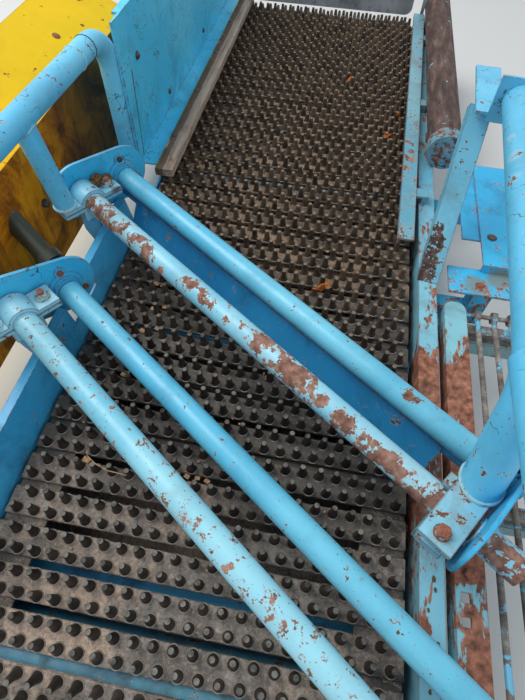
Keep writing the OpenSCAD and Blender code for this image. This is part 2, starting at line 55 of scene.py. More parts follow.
# A material's node tree, with short names for the nodes that are used often.
# A colour is a socket or three screen values.
class Look:
    def __init__(self, name):
        self.mat = bpy.data.materials.new(name)
        self.mat.use_nodes = True
        self.tree = self.mat.node_tree
        self.tree.nodes.clear()
        self.shader = self.node("BsdfPrincipled")
        self.node("OutputMaterial", self.shader.outputs[0])
        self.place = self.node("TexCoord").outputs["Object"]

    def put(self, socket, value):
        if isinstance(value, bpy.types.NodeSocket):
            self.tree.links.new(value, socket)
        else:
            socket.default_value = value

    def put_colour(self, socket, value):
        self.put(socket, tone(*value) if isinstance(value, tuple) else value)

    # A node of a kind, with its first inputs filled in; in textures the second one is not used
    def node(self, kind, *values):
        n = self.tree.nodes.new("ShaderNode" + kind)
        for socket, value in zip(n.inputs, values):
            self.put(socket, value)
        return n

    def noise(self, scale, detail=6.0, rough=0.6, warp=0.0, where=None, out=0):
        n = self.node("TexNoise", where or self.place, 0.0, scale, detail, rough)
        n.inputs["Distortion"].default_value = warp
        return n.outputs[out]

    def cells(self, scale):
        return self.node("TexVoronoi", self.place, 0.0, scale).outputs["Distance"]

    def math(self, kind, a, b=0.0):
        n = self.node("Math", a, b)
        n.operation = kind
        return n.outputs[0]

    def times(self, a, b):
        return self.math("MULTIPLY", a, b)

    def plus(self, a, b):
        return self.math("ADD", a, b)

    # Distance and dot product give a number, the other kinds a vector
    def vector(self, kind, *values):
        n = self.node("VectorMath", *values)
        n.operation = kind
        return n.outputs[1 if kind in ("DISTANCE", "DOT_PRODUCT") else 0]

    def step(self, value, low, high, to_low=0.0, to_high=1.0):
        n = self.node("MapRange", value, low, high, to_low, to_high)
        n.interpolation_type = "SMOOTHSTEP"
        return n.outputs[0]

    def mix(self, share, a, b):
        n = self.node("Mix", share)
        n.data_type = "RGBA"
        self.put_colour(n.inputs[6], a)
        self.put_colour(n.inputs[7], b)
        return n.outputs[2]

    def ramp(self, value, stops):
        n = self.node("ValToRGB", value)
        bar = n.color_ramp.elements
        while len(bar) < len(stops):
            bar.new(0.5)
        for element, (at, colour) in zip(bar, stops):
            element.position = at
            element.color = tone(*colour)
        return n.outputs[0]

    def axis(self, which, where=None):
        return self.node("SeparateXYZ", where or self.place).outputs["XYZ".index(which)]

    # The place along an axis, made uneven by noise
    def wavy(self, which, scale, detail, reach):
        return self.plus(self.axis(which), self.times(self.noise(scale, detail), reach))

    def stretched(self, *shares):
        return self.vector("MULTIPLY", self.place, shares)

    def normal(self):
        return self.node("NewGeometry").outputs["Normal"]

    # The place moved a little by noise, so that round spots get ragged outlines
    def ragged(self, reach, scale):
        shift = self.vector("SUBTRACT", self.noise(scale, 7.0, 0.65, out=1), (0.5, 0.5, 0.5))
        return self.vector("MULTIPLY_ADD", shift, (reach, reach, reach), self.place)

    # 1 inside any of the balls (x, y, z, radius), 0 outside
    def spots(self, balls, where):
        total = None
        for x, y, z, radius in balls:
            one = self.step(self.vector("DISTANCE", where, (x, y, z)), radius * 1.55, radius * 0.35)
            total = one if total is None else self.math("MAXIMUM", total, one)
        return total

    # 1 along sharp outer edges
    def edges(self, radius):
        bevel = self.node("Bevel", radius)
        bevel.samples = 4
        return self.step(self.vector("DOT_PRODUCT", bevel.outputs[0], self.normal()), 0.985, 0.86)

    def bump(self, height, strength, reach):
        n = self.node("Bump", strength, reach)
        self.put(n.inputs["Height"], height)
        return n.outputs[0]

    def finish(self, colour, rough, normal=None, gloss=0.5):
        self.put_colour(self.shader.inputs["Base Color"], colour)
        self.put(self.shader.inputs["Roughness"], rough)
        self.shader.inputs["Specular IOR Level"].default_value = gloss
        if normal is not None:
            self.put(self.shader.inputs["Normal"], normal)
        return self.mat


# Rusts from dark to light, and the stretch of flakes along the belt's travel
RUST = [(0.30, (58, 36, 26)), (0.45, (96, 60, 44)), (0.56, (128, 84, 66)), (0.70, (150, 104, 84))]
PINK_RUST = [(0.30, (74, 48, 38)), (0.45, (120, 82, 68)), (0.58, (150, 112, 96)), (0.72, (172, 140, 124))]
BROWN = [(0.34, (38, 28, 26)), (0.47, (66, 48, 42)), (0.57, (92, 70, 62)), (0.70, (126, 106, 98))]
BAR_RUST = [(0.32, (66, 42, 34)), (0.46, (120, 76, 58)), (0.58, (152, 100, 78)), (0.72, (172, 132, 112))]
STREAK = (1.0, 0.34, 1.0)


# Enamel over steel: fading, dirt, flakes down to rust with a pale rim, and worn edges.
# flakes is the share of the surface that is bare, from 0 to 1, and size how fine they are;
# balls are places with more flakes, by gain; zones are (y from, y to, more flakes);
# cracks draws thin dark lines in the paint; drawn stretches the flakes along an axis.
def enamel(name, colour, pale, flakes, size, wear, dirt, dirt_colour, balls=None, rust=RUST, rough=0.38,
           rim=(176, 190, 188), specks=0.4, cracks=0.0, zones=None, drawn=None, gain=0.11, stains=None):
    m = Look(name)
    fade = m.noise(2.6, 4.0, 0.55)
    paint = m.mix(m.step(fade, 0.38, 0.64), colour, pale)
    fine = m.noise(90.0, 5.0, 0.6)
    paint = m.mix(m.step(fine, 0.35, 0.75, 0.0, 0.25), paint, pale)
    soil = m.noise(9.0, 9.0, 0.68, 0.4)
    soiled = m.times(m.step(soil, 0.46, 0.72), dirt)
    paint = m.mix(soiled, paint, dirt_colour)
    # flakes
    where_to = m.stretched(*drawn) if drawn else None
    big = m.noise(size, 9.0, 0.62, 0.2, where_to)
    small = m.noise(size * 4.2, 6.0, 0.62, 0.3, where_to)
    level = m.plus(m.times(big, 0.66), m.times(small, 0.34))
    where = 0.5 + 0.115 * (1.0 - 2.0 * flakes)
    if wear > 0.0:
        level = m.plus(level, m.times(m.edges(0.0035), 0.17 * wear))
    if balls:
        near = m.spots(balls, m.ragged(0.03, 22.0))
        level = m.plus(level, m.times(near, gain))
    for low, high, more in zones or ():
        y = m.wavy("Y", 5.0, 4.0, 0.08)
        inside = m.times(m.step(y, low, low + 0.06), m.step(y, high + 0.06, high))
        level = m.plus(level, m.times(inside, more))
    bare = m.step(level, where, where + 0.008)
    halo = m.step(level, where - 0.018, where - 0.004)
    # small dark specks where the paint has popped
    dots = m.plus(m.cells(125.0), m.times(m.noise(14.0, 3.0), 0.34))
    speck = m.step(dots, 0.20 + 0.07 * specks, 0.18)
    rusty = m.ramp(m.noise(62.0, 7.0, 0.65), rust)
    tint = m.mix(m.times(halo, 0.65), paint, rim)
    tint = m.mix(m.times(speck, min(specks, 0.9)), tint, (60, 46, 42))
    if cracks > 0.0:
        line = m.math("ABSOLUTE", m.math("SUBTRACT", m.noise(16.0, 3.0, 0.5, 0.6), 0.5))
        apart = m.step(m.noise(11.0, 4.0, 0.6), 0.60 - 0.08 * cracks, 0.62 - 0.08 * cracks)
        line = m.times(m.step(line, 0.007, 0.002), apart)
        tint = m.mix(m.times(line, 0.85), tint, (44, 52, 58))
    for spot, shade in stains or ():
        near = m.spots([spot], m.ragged(0.03, 20.0))
        tint = m.mix(m.step(near, 0.25, 0.9, 0.0, 0.85), tint, shade)
    tint = m.mix(bare, tint, rusty)
    gloss = m.plus(m.times(bare, 0.42), m.times(soiled, 0.5))
    gloss = m.plus(gloss, m.step(fine, 0.3, 0.8, rough - 0.05, rough + 0.08))
    grain = m.times(m.noise(240.0, 3.0, 0.7), m.step(bare, 0.0, 1.0, 0.06, 0.35))
    height = m.math("SUBTRACT", grain, m.times(bare, 0.55))
    return m.finish(tint, gloss, m.bump(height, 0.55, 0.0012))


# Steel with rust all over, and some paint left on it
def rusty_steel(name, stops, share=0.0, scale=16.0, rough=0.8, drawn=None):
    m = Look(name)
    along = m.stretched(*drawn) if drawn else None
    tint = m.ramp(m.noise(scale * 2.4, 8.0, 0.7, 0.1, along), stops)
    dark = m.noise(scale * 0.35, 4.0, 0.6, 0.0, along)
    tint = m.mix(m.step(dark, 0.5, 0.72, 0.0, 0.55), tint, (44, 32, 26))
    kept = m.plus(m.times(m.noise(scale, 8.0, 0.6, 0.4), 0.7),
                  m.times(m.noise(scale * 5.0, 5.0, 0.6), 0.3))
    limit = 0.5 + 0.115 * (1.0 - 2.0 * share) if share > 0.0 else 0.8
    kept = m.step(kept, limit, limit + 0.01)
    tint = m.mix(kept, tint, (96, 170, 200))
    height = m.plus(m.times(kept, 0.4), m.noise(160.0, 5.0, 0.7))
    return m.finish(tint, m.step(kept, 0.0, 1.0, rough, 0.45), m.bump(height, 0.4, 0.0009))


# Where the photographed flakes and brown patches lie: x, y, z, radius
flakes_1 = [
    (-0.356, -0.316, 0.378, 0.034), (-0.320, -0.345, 0.375, 0.026), (-0.291, -0.364, 0.378, 0.020),
    (-0.250, -0.392, 0.381, 0.022), (-0.215, -0.420, 0.372, 0.020), (-0.185, -0.447, 0.372, 0.024),
    (-0.111, -0.486, 0.382, 0.016), (-0.078, -0.506, 0.383, 0.017), (-0.028, -0.553, 0.374, 0.012),
    (0.048, -0.588, 0.383, 0.028), (0.078, -0.610, 0.383, 0.030), (0.108, -0.636, 0.381, 0.024),
    (0.131, -0.660, 0.380, 0.020), (0.158, -0.677, 0.382, 0.013), (0.195, -0.706, 0.379, 0.022),
    (0.226, -0.733, 0.376, 0.022), (0.262, -0.756, 0.378, 0.022), (0.292, -0.785, 0.372, 0.024),
    (0.318, -0.800, 0.374, 0.026), (0.345, -0.812, 0.380, 0.024), (0.379, -0.838, 0.378, 0.034),
    (0.421, -0.864, 0.381, 0.030), (0.447, -0.885, 0.374, 0.030), (0.30, -0.80, 0.350, 0.040),
    (0.24, -0.76, 0.350, 0.030),
]
flakes_2 = [
    (-0.07, -0.84, 0.381, 0.014), (-0.022, -0.885, 0.374, 0.015), (0.012, -0.908, 0.376, 0.020),
    (0.035, -0.925, 0.372, 0.014), (0.070, -0.945, 0.378, 0.014), (0.117, -0.976, 0.382, 0.012),
    (-0.158, -0.797, 0.362, 0.015), (0.148, -1.006, 0.370, 0.013),
]
patch_roller = [(0.299, -0.642, 0.374, 0.016)]
worn_rail = [(0.405, -0.215, 0.582, 0.016), (0.402, -0.290, 0.585, 0.018), (0.399, -0.350, 0.586, 0.014)]
brown_brace = [
    (0.366, -0.176, 0.335, 0.014), (0.366, -0.190, 0.320, 0.017), (0.366, -0.205, 0.301, 0.021),
    (0.364, -0.224, 0.277, 0.024), (0.364, -0.242, 0.254, 0.026),
]

finishes = {
    "light_enamel": enamel(
        "light_enamel", (86, 180, 220), (110, 198, 230), flakes=0.05, size=48.0, wear=0.6, dirt=0.3,
        dirt_colour=(86, 112, 112), balls=worn_rail, specks=1.1, cracks=1.3, gain=0.035,
        stains=[((0.404, -0.225, 0.584, 0.012), (132, 186, 208)),
                ((0.401, -0.285, 0.586, 0.014), (134, 184, 204)),
                ((0.399, -0.345, 0.586, 0.012), (130, 186, 208))]),
    "tube_1": enamel(
        "tube_1_enamel", (112, 188, 214), (160, 208, 222), flakes=0.17, size=30.0, wear=0.3, dirt=0.3,
        dirt_colour=(110, 130, 128), balls=flakes_1, rust=PINK_RUST, specks=0.9, gain=0.125),
    "tube_2": enamel(
        "tube_2_enamel", (108, 186, 212), (146, 206, 222), flakes=0.17, size=58.0, wear=0.3, dirt=0.3,
        dirt_colour=(110, 130, 128), balls=flakes_2, rust=PINK_RUST, specks=1.4, gain=0.05),
    "roller": enamel(
        "roller_enamel", (78, 174, 208), (108, 192, 218), flakes=0.03, size=66.0, wear=0.2, dirt=0.26,
        dirt_colour=(60, 106, 130), balls=patch_roller, rough=0.34, specks=1.1, gain=0.16),
    "plate": enamel(
        "plate_enamel", (40, 170, 220), (66, 184, 226), flakes=0.05, size=54.0, wear=1.5, dirt=0.5,
        dirt_colour=(44, 76, 90), specks=1.1, cracks=0.6),
    "wall": enamel(
        "wall_enamel", (64, 194, 236), (94, 208, 242), flakes=0.035, size=60.0, wear=0.8, dirt=0.42,
        dirt_colour=(50, 104, 130), specks=1.1, cracks=0.9),
    "deck": enamel(
        "deck_enamel", (20, 164, 214), (48, 176, 220), flakes=0.06, size=44.0, wear=1.5, dirt=0.5,
        dirt_colour=(58, 88, 100), specks=0.9, rust=BAR_RUST, zones=[(-0.32, -0.215, 0.055)],
        stains=[((0.470, -0.262, 0.263, 0.030), (112, 128, 122)),
                ((0.520, -0.235, 0.263, 0.030), (118, 124, 114))]),
    "deep": enamel(
        "deep_enamel", (56, 162, 212), (76, 180, 224), flakes=0.03, size=44.0, wear=0.9, dirt=0.5,
        dirt_colour=(28, 70, 96), specks=0.9),
    "cross": enamel(
        "cross_enamel", (64, 176, 236), (88, 194, 244), flakes=0.02, size=40.0, wear=0.4, dirt=0.7,
        dirt_colour=(40, 70, 88), specks=0.8),
    "near": enamel(
        "near_enamel", (62, 132, 162), (84, 150, 172), flakes=0.16, size=34.0, wear=0.6, dirt=0.85,
        dirt_colour=(70, 66, 56), specks=0.6),
    "sheet": enamel(
        "sheet_enamel", (32, 122, 176), (46, 142, 194), flakes=0.02, size=44.0, wear=1.0, dirt=0.6,
        dirt_colour=(20, 54, 80), specks=1.2, stains=[((-0.006, -0.415, 0.288, 0.010), (20, 18, 22))]),
    "clamp": enamel(
        "clamp_enamel", (104, 180, 208), (146, 204, 222), flakes=0.14, size=50.0, wear=2.0, dirt=0.65,
        dirt_colour=(116, 104, 84), specks=0.9, stains=[((-0.336, -0.240, 0.372, 0.016), (86, 62, 28))]),
    "worn": enamel(
        "worn_enamel", (90, 162, 190), (124, 186, 204), flakes=0.42, size=26.0, wear=0.9, dirt=0.5,
        dirt_colour=(86, 70, 60), rust=BAR_RUST, rim=(130, 140, 140), drawn=STREAK,
        zones=[(-0.80, -0.42, 0.10), (-1.4, -0.86, -0.03), (-0.42, 1.4, -0.04)]),
    "bar": enamel(
        "bar_enamel", (96, 166, 188), (128, 186, 198), flakes=0.50, size=24.0, wear=0.6, dirt=0.5,
        dirt_colour=(84, 62, 52), rust=BAR_RUST, rim=(136, 132, 126), drawn=STREAK,
        zones=[(-0.86, -0.46, 0.11), (-0.36, 1.4, -0.03)]),
    "strip": enamel(
        "strip_enamel", (70, 146, 170), (106, 164, 180), flakes=0.20, size=40.0, wear=2.2, dirt=0.75,
        dirt_colour=(128, 118, 112), rust=BAR_RUST, specks=0.9,
        zones=[(-1.4, -0.12, 0.05), (0.08, 0.22, 0.035)]),
    "brace": enamel(
        "brace_enamel", (86, 168, 200), (112, 186, 210), flakes=0.08, size=60.0, wear=1.2, dirt=0.45,
        dirt_colour=(92, 96, 88), balls=brown_brace, rust=BROWN, specks=0.9, gain=0.165),
    "grey_blue": enamel(
        "grey_blue_enamel", (108, 160, 172), (136, 182, 188), flakes=0.22, size=30.0, wear=1.2, dirt=0.5,
        dirt_colour=(98, 88, 76), rust=BAR_RUST, rim=(150, 160, 156)),
    "dark_pipe": enamel(
        "dark_pipe", (34, 40, 32), (52, 58, 46), flakes=0.04, size=26.0, wear=0.5, dirt=0.5,
        dirt_colour=(60, 54, 40), rim=(80, 86, 80)),
    "rust": rusty_steel("rusty_tube", BROWN, share=0.02, scale=24.0, drawn=(1.0, 0.22, 1.0)),
    "rods": rusty_steel(
        "rod_steel", [(0.3, (66, 58, 52)), (0.5, (112, 104, 98)), (0.7, (152, 150, 142))], share=0.22),
    "steel": rusty_steel(
        "dark_steel", [(0.3, (44, 40, 36)), (0.5, (72, 66, 60)), (0.7, (96, 86, 76))], rough=0.6),
    "bolt": rusty_steel(
        "rusty_bolt", [(0.3, (84, 44, 32)), (0.5, (136, 80, 58)), (0.7, (168, 114, 88))], scale=60.0),
    "dark_bolt": rusty_steel(
        "dark_bolt", [(0.3, (30, 28, 28)), (0.5, (58, 50, 46)), (0.7, (104, 92, 82))], scale=60.0,
        rough=0.5),
    "ring": enamel(
        "ring_enamel", (88, 160, 186), (124, 184, 200), flakes=0.42, size=64.0, wear=1.6, dirt=0.6,
        dirt_colour=(90, 74, 62), rim=(136, 144, 142), specks=0.8),
    "nut": enamel(
        "painted_nut", (132, 180, 190), (168, 200, 200), flakes=0.3, size=90.0, wear=1.0, dirt=0.4,
        dirt_colour=(110, 96, 80)),
    "bead": enamel(
        "weld_bead", (118, 186, 208), (168, 208, 214), flakes=0.16, size=110.0, wear=0.0, dirt=0.5,
        dirt_colour=(110, 92, 70), specks=0.6),
}


# Rubber with dried soil: pale dust on the near slats, dark and damp in the middle, brown far off
def rubber(name, base, dust, dust_share):
    m = Look(name)
    grain = m.noise(150.0, 7.0, 0.72)
    soil = m.noise(8.0, 9.0, 0.68, 0.6)
    patch = m.noise(3.2, 5.0, 0.6)
    y = m.plus(m.wavy("Y", 3.4, 5.0, 0.30), -0.15)
    near = m.step(y, -0.70, -0.90)
    far = m.step(y, -0.42, -0.16)
    share = m.times(m.step(soil, 0.36, 0.60), m.step(near, 0.0, 1.0, dust_share * 0.10, dust_share))
    pale = m.mix(m.step(patch, 0.42, 0.62), dust, (150, 142, 134))
    tint = m.mix(share, base, pale)
    tint = m.mix(m.step(near, 0.0, 1.0, 0.40, 0.0), tint, (34, 33, 33))
    brown = m.mix(m.step(soil, 0.42, 0.62), (66, 53, 42), (164, 134, 104))
    tint = m.mix(m.step(far, 0.0, 1.0, 0.0, 0.9), tint, brown)
    wet_patch = m.step(m.noise(5.5, 6.0, 0.62, 0.5), 0.54, 0.68, 0.0, 0.55)
    tint = m.mix(wet_patch, tint, (38, 34, 32))
    tint = m.mix(m.step(grain, 0.36, 0.62, 0.5, 0.0), tint, (24, 20, 17))
    pores = m.step(m.plus(m.cells(210.0), m.times(m.noise(20.0, 3.0), 0.5)), 0.42, 0.36)
    tint = m.mix(m.times(pores, 0.5), tint, (26, 22, 19))
    grit = m.noise(78.0, 9.0, 0.8, 0.5)
    tint = m.mix(m.step(grit, 0.52, 0.60, 0.0, 0.55), tint, m.mix(near, (96, 92, 90), (186, 170, 156)))
    tint = m.mix(m.step(grit, 0.47, 0.40, 0.0, 0.6), tint, (24, 21, 20))
    chaff = m.step(m.noise(52.0, 6.0, 0.74, 1.4), 0.645, 0.665)
    chaff = m.times(chaff, m.step(soil, 0.42, 0.58, 0.15, 0.8))
    tint = m.mix(chaff, tint, (156, 130, 104))
    height = m.plus(m.times(grain, 0.7), m.noise(34.0, 7.0, 0.72))
    wet = m.step(grit, 0.40, 0.60, 0.30, 0.86)
    return m.finish(tint, wet, m.bump(height, 0.75, 0.0019))


# Pins have dark sides and worn tips; the attribute is 1 at the top of a pin
def pin_rubber():
    m = Look("pin_rubber")
    share = m.node("Attribute")
    share.attribute_name = "tip"
    tip = share.outputs["Fac"]
    side = m.mix(m.step(m.noise(30.0, 6.0, 0.7), 0.42, 0.66), (30, 25, 22), (66, 55, 47))
    worn = m.mix(m.step(m.noise(44.0, 5.0, 0.65), 0.38, 0.62), (58, 57, 53), (118, 116, 108))
    y = m.wavy("Y", 6.0, 4.0, 0.3)
    tired = m.step(y, -0.55, -0.10, 0.0, 0.75)
    worn = m.mix(tired, worn, (118, 100, 82))
    side = m.mix(m.times(tired, m.step(m.noise(22.0, 6.0, 0.7), 0.38, 0.62)), side, (104, 86, 68))
    tint = m.mix(m.step(tip, 0.80, 0.98), side, worn)
    return m.finish(tint, m.step(tip, 0.5, 1.0, 0.55, 0.8), m.bump(m.noise(220.0, 4.0, 0.7), 0.4, 0.0008))


# The raised rim round a pin's foot: on the side that faces the near end, a pale crescent is painted
# highlight together with soil dried pale
def collar_rubber():
    m = Look("collar_rubber")
    # painted highlight: the side whose normal turns towards (0.42, -0.86, 0.28) takes the pale crescent
    # colour
    side = m.step(m.vector("DOT_PRODUCT", m.normal(), (0.42, -0.86, 0.28)), 0.30, 0.72)
    y = m.plus(m.wavy("Y", 4.0, 4.0, 0.3), -0.15)
    near = m.step(y, -0.72, -0.92)
    dull = m.mix(near, (42, 37, 33), (118, 108, 99))
    far = m.step(y, -0.40, -0.10)
    # the crescent's colour, painted highlight and dried soil: near-white in the middle, grey-tan on the
    # near slats, tan far off
    highlight_and_dust = m.mix(far, m.mix(near, (180, 180, 176), (166, 157, 148)), (168, 148, 126))
    broken = m.step(m.noise(40.0, 6.0, 0.7), 0.36, 0.54, 0.15, 1.0)
    tint = m.mix(m.times(side, broken), dull, highlight_and_dust)
    return m.finish(tint, 0.62, m.bump(m.noise(200.0, 4.0, 0.7), 0.4, 0.0008))


# Grey plank with moss along one edge, and a groove drawn only as a dark band of painted shade
def old_board():
    m = Look("weathered_board")
    grain = m.noise(60.0, 8.0, 0.7, 0.3, m.stretched(1.0, 0.06, 1.0))
    tint = m.ramp(grain, [(0.34, (108, 92, 80)), (0.5, (156, 136, 120)), (0.66, (184, 164, 148))])
    moss = m.step(m.plus(m.noise(34.0, 7.0, 0.7),
                         m.step(m.axis("X"), -0.316, -0.332, 0.0, 0.22)), 0.60, 0.70)
    tint = m.mix(moss, tint, m.mix(m.noise(120.0, 4.0), (96, 104, 44), (52, 46, 30)))
    # painted shade: the groove has no relief, only a dark brown band where its shade would fall
    groove_shade = m.wavy("X", 18.0, 5.0, 0.012)
    groove_shade = m.times(m.step(groove_shade, -0.3260, -0.3235), m.step(groove_shade, -0.3070, -0.3105))
    tint = m.mix(m.times(groove_shade, 0.85), tint, (72, 54, 44))
    wet = m.step(m.noise(5.0, 6.0, 0.6), 0.5, 0.66, 0.0, 0.5)
    tint = m.mix(wet, tint, (70, 58, 48))
    return m.finish(tint, 0.85, m.bump(m.plus(grain, m.times(moss, 0.8)), 0.5, 0.003))


def flap_rubber():
    m = Look("flap_rubber")
    tint = m.mix(m.step(m.noise(6.0, 6.0, 0.6), 0.4, 0.62), (122, 126, 130), (152, 156, 160))
    tint = m.mix(m.step(m.noise(30.0, 8.0, 0.7), 0.52, 0.68, 0.0, 0.6), tint, (76, 74, 70))
    return m.finish(tint, 0.55, m.bump(m.noise(140.0, 4.0, 0.7), 0.25, 0.001))


# Yellow cover: bright outside; the side that faces the belt is painted in shade, orange-brown with stains
# and streaks, and darker towards the far end
def shaded_stained_yellow():
    m = Look("shaded_stained_yellow")
    # painted shade: faces turned towards the belt (+x) take the dark orange-brown colour in place of the
    # bright yellow
    inner = m.step(m.axis("X", m.normal()), 0.2, 0.7)
    shade_and_stain = m.ramp(m.noise(8.0, 9.0, 0.7, 0.8), [(0.34, (74, 38, 8)), (0.46, (166, 88, 4)),
                                               (0.58, (228, 134, 0)), (0.72, (244, 164, 0))])
    streak = m.noise(26.0, 7.0, 0.7, 0.2, m.stretched(1.0, 1.0, 0.16))
    shade_and_stain = m.mix(m.step(streak, 0.5, 0.68, 0.0, 0.7), shade_and_stain, (66, 36, 16))
    shade = m.step(m.wavy("Y", 5.0, 5.0, 0.3), -0.02, 0.16)
    shade_and_stain = m.mix(m.times(shade, 0.7), shade_and_stain, (48, 30, 16))
    top = m.mix(m.step(m.noise(10.0, 7.0, 0.6), 0.5, 0.7, 0.0, 0.4), (255, 214, 0), (248, 190, 0))
    chips = m.step(m.noise(40.0, 8.0, 0.6), 0.66, 0.668)
    top = m.mix(chips, top, (96, 62, 40))
    top = m.mix(m.edges(0.004), top, (206, 170, 60))
    tint = m.mix(inner, top, shade_and_stain)
    relief = m.bump(m.noise(60.0, 6.0, 0.6), 0.25, 0.0012)
    return m.finish(tint, m.step(inner, 0.0, 1.0, 0.5, 0.8), relief, gloss=0.22)


def soil_clod(name, dark, light):
    m = Look(name)
    tint = m.ramp(m.noise(160.0, 8.0, 0.75), [(0.36, dark), (0.62, light)])
    return m.finish(tint, 0.95, m.bump(m.noise(320.0, 6.0, 0.8), 0.9, 0.002))


finishes["slat"] = rubber("slat_rubber", (98, 90, 82), (192, 166, 144), 1.0)
finishes["band"] = rubber("band_rubber", (54, 50, 46), (118, 106, 92), 0.9)
finishes["pin"] = pin_rubber()
finishes["collar"] = collar_rubber()
finishes["board"] = old_board()
finishes["flap"] = flap_rubber()
finishes["cover"] = shaded_stained_yellow()
finishes["clod"] = soil_clod("dry_clod", (52, 40, 22), (128, 96, 56))
finishes["chip"] = soil_clod("wood_chip", (150, 112, 78), (206, 168, 128))
finishes["leaf"] = soil_clod("dead_leaf", (120, 58, 20), (186, 104, 38))

node_finish = {
    "side_frame_left": "deep", "side_frame_right": "worn", "cross_tubes": "cross", "near_roller": "near",
    "drive_roller": "steel", "carrying_rollers": "steel", "shaft_bearings": "steel", "tall_wall": "wall",
    "sealing_board": "board", "end_flap": "flap", "guard_rail_left": "light_enamel",
    "guard_rail_right": "light_enamel", "diagonal_brace": "brace", "side_cover": "cover",
    "cover_struts": "dark_pipe", "edge_strip": "strip", "inner_bar": "bar", "outer_bar": "grey_blue",
    "rod_grate": "rods", "side_tube": "rust", "side_deck": "deck", "clamps_left": "clamp",
    "clamps_right": "clamp", "deflector_tube_1": "tube_1", "end_plates_1": "plate",
    "roller_bearings_1": "plate", "deflector_sheet_1": "sheet", "deflector_roller_1": "roller",
    "deflector_tube_2": "tube_2", "end_plates_2": "plate", "roller_bearings_2": "plate",
    "deflector_sheet_2": "sheet", "deflector_roller_2": "roller",
}
for node, finish in node_finish.items():
    if not nodes[node].material_slots:
        nodes[node].data.materials.append(finishes[finish])
    for place in nodes[node].material_slots:
        place.material = finishes[finish]


def add_object(name, data):
    piece = bpy.data.objects.new(name, data)
    scene.collection.objects.link(piece)
    return piece


# Gathers many small meshes into one object
class Batch:
    def __init__(self):
        self.verts = []
        self.faces = []
        self.tips = []

    def add(self, verts, faces, move=None, tips=None):
        start = len(self.verts)
        for v in verts:
            self.verts.append(tuple(move @ Vector(v)) if move is not None else tuple(v))
        self.faces.extend(tuple(i + start for i in face) for face in faces)
        self.tips.extend(tips if tips is not None else [0.0] * len(verts))

    def build(self, name, finish, slot, body="frame", angle=40.0):
        mesh = bpy.data.meshes.new(name)
        mesh.from_pydata(self.verts, [], self.faces)
        mesh.validate()
        if any(self.tips):
            layer = mesh.attributes.new("tip", "FLOAT", "POINT")
            layer.data.foreach_set("value", np.array(self.tips, np.float32))
        mesh.materials.append(finishes[finish])
        piece = add_object(name, mesh)
        mesh.polygons.foreach_set("use_smooth", [True] * len(mesh.polygons))
        mesh.set_sharp_from_angle(angle=math.radians(angle))
        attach(piece, body)
        return piece


# A turned shape about z: profile is a list of (radius, height), closed by caps
def turned(profile, sides):
    verts = []
    faces = []
    for radius, height in profile:
        for k in range(sides):
            a = math.tau * k / sides
            verts.append((radius * math.cos(a), radius * math.sin(a), height))
    for i in range(len(profile) - 1):
        for k in range(sides):
            j = (k + 1) % sides
            faces.append((i * sides + k, i * sides + j, (i + 1) * sides + j, (i + 1) * sides + k))
    faces.append(tuple(reversed(range(sides))))
    top = (len(profile) - 1) * sides
    faces.append(tuple(top + k for k in range(sides)))
    return verts, faces


# A sweep of a closed section (list of (side, up)) through frames (origin, side, up)
def swept(section, frames, closed=False):
    verts = []
    faces = []
    n = len(section)
    for origin, side, up in frames:
        for a, b in section:
            verts.append(tuple(origin + side * a + up * b))
    count = len(frames)
    for i in range(count if closed else count - 1):
        j = (i + 1) % count
        for k in range(n):
            m = (k + 1) % n
            faces.append((i * n + k, j * n + k, j * n + m, i * n + m))
    if not closed:
        faces.append(tuple(range(n)))
        faces.append(tuple(reversed(range((count - 1) * n, count * n))))
    return verts, faces


# Belt sizes, as in the solid model
slats = 80
pitch = 0.060
belt_w = 0.668
slat_len = 0.0475
slat_t = 0.008
band_t = 0.006
turn_r = 0.072
belt_z = 0.220
row_gap = 0.028
pin_gap = 0.030
first_pin = -0.315
pin_sway = 0.028
fine_sides = 10
plain_sides = 7
axis_z = belt_z - slat_t - band_t / 2.0 - turn_r
belt_length = slats * pitch
run_l = (belt_length - math.tau * turn_r) / 2.0
turn_l = math.pi * turn_r
near_y = -run_l / 2.0
far_y = run_l / 2.0
first_slat = 0.0317


# A place along the loop: y, z and the angle turned from the top run
def place_on_loop(u):
    u = u % belt_length
    if u < run_l:
        return near_y + u, axis_z + turn_r, 0.0
    if u < run_l + turn_l:
        a = (u - run_l) / turn_r
        return far_y + turn_r * math.sin(a), axis_z + turn_r * math.cos(a), a
    if u < 2.0 * run_l + turn_l:
        return far_y - (u - run_l - turn_l), axis_z - turn_r, math.pi
    a = (u - 2.0 * run_l - turn_l) / turn_r
    return near_y - turn_r * math.sin(a), axis_z - turn_r * math.cos(a), math.pi + a


# Slat frame: local x across, y along the travel, z outwards from the band's middle
def slat_frame(u):
    y, z, a = place_on_loop(u)
    return Matrix.Translation((0.0, y, z)) @ Matrix.Rotation(-a, 4, "X")


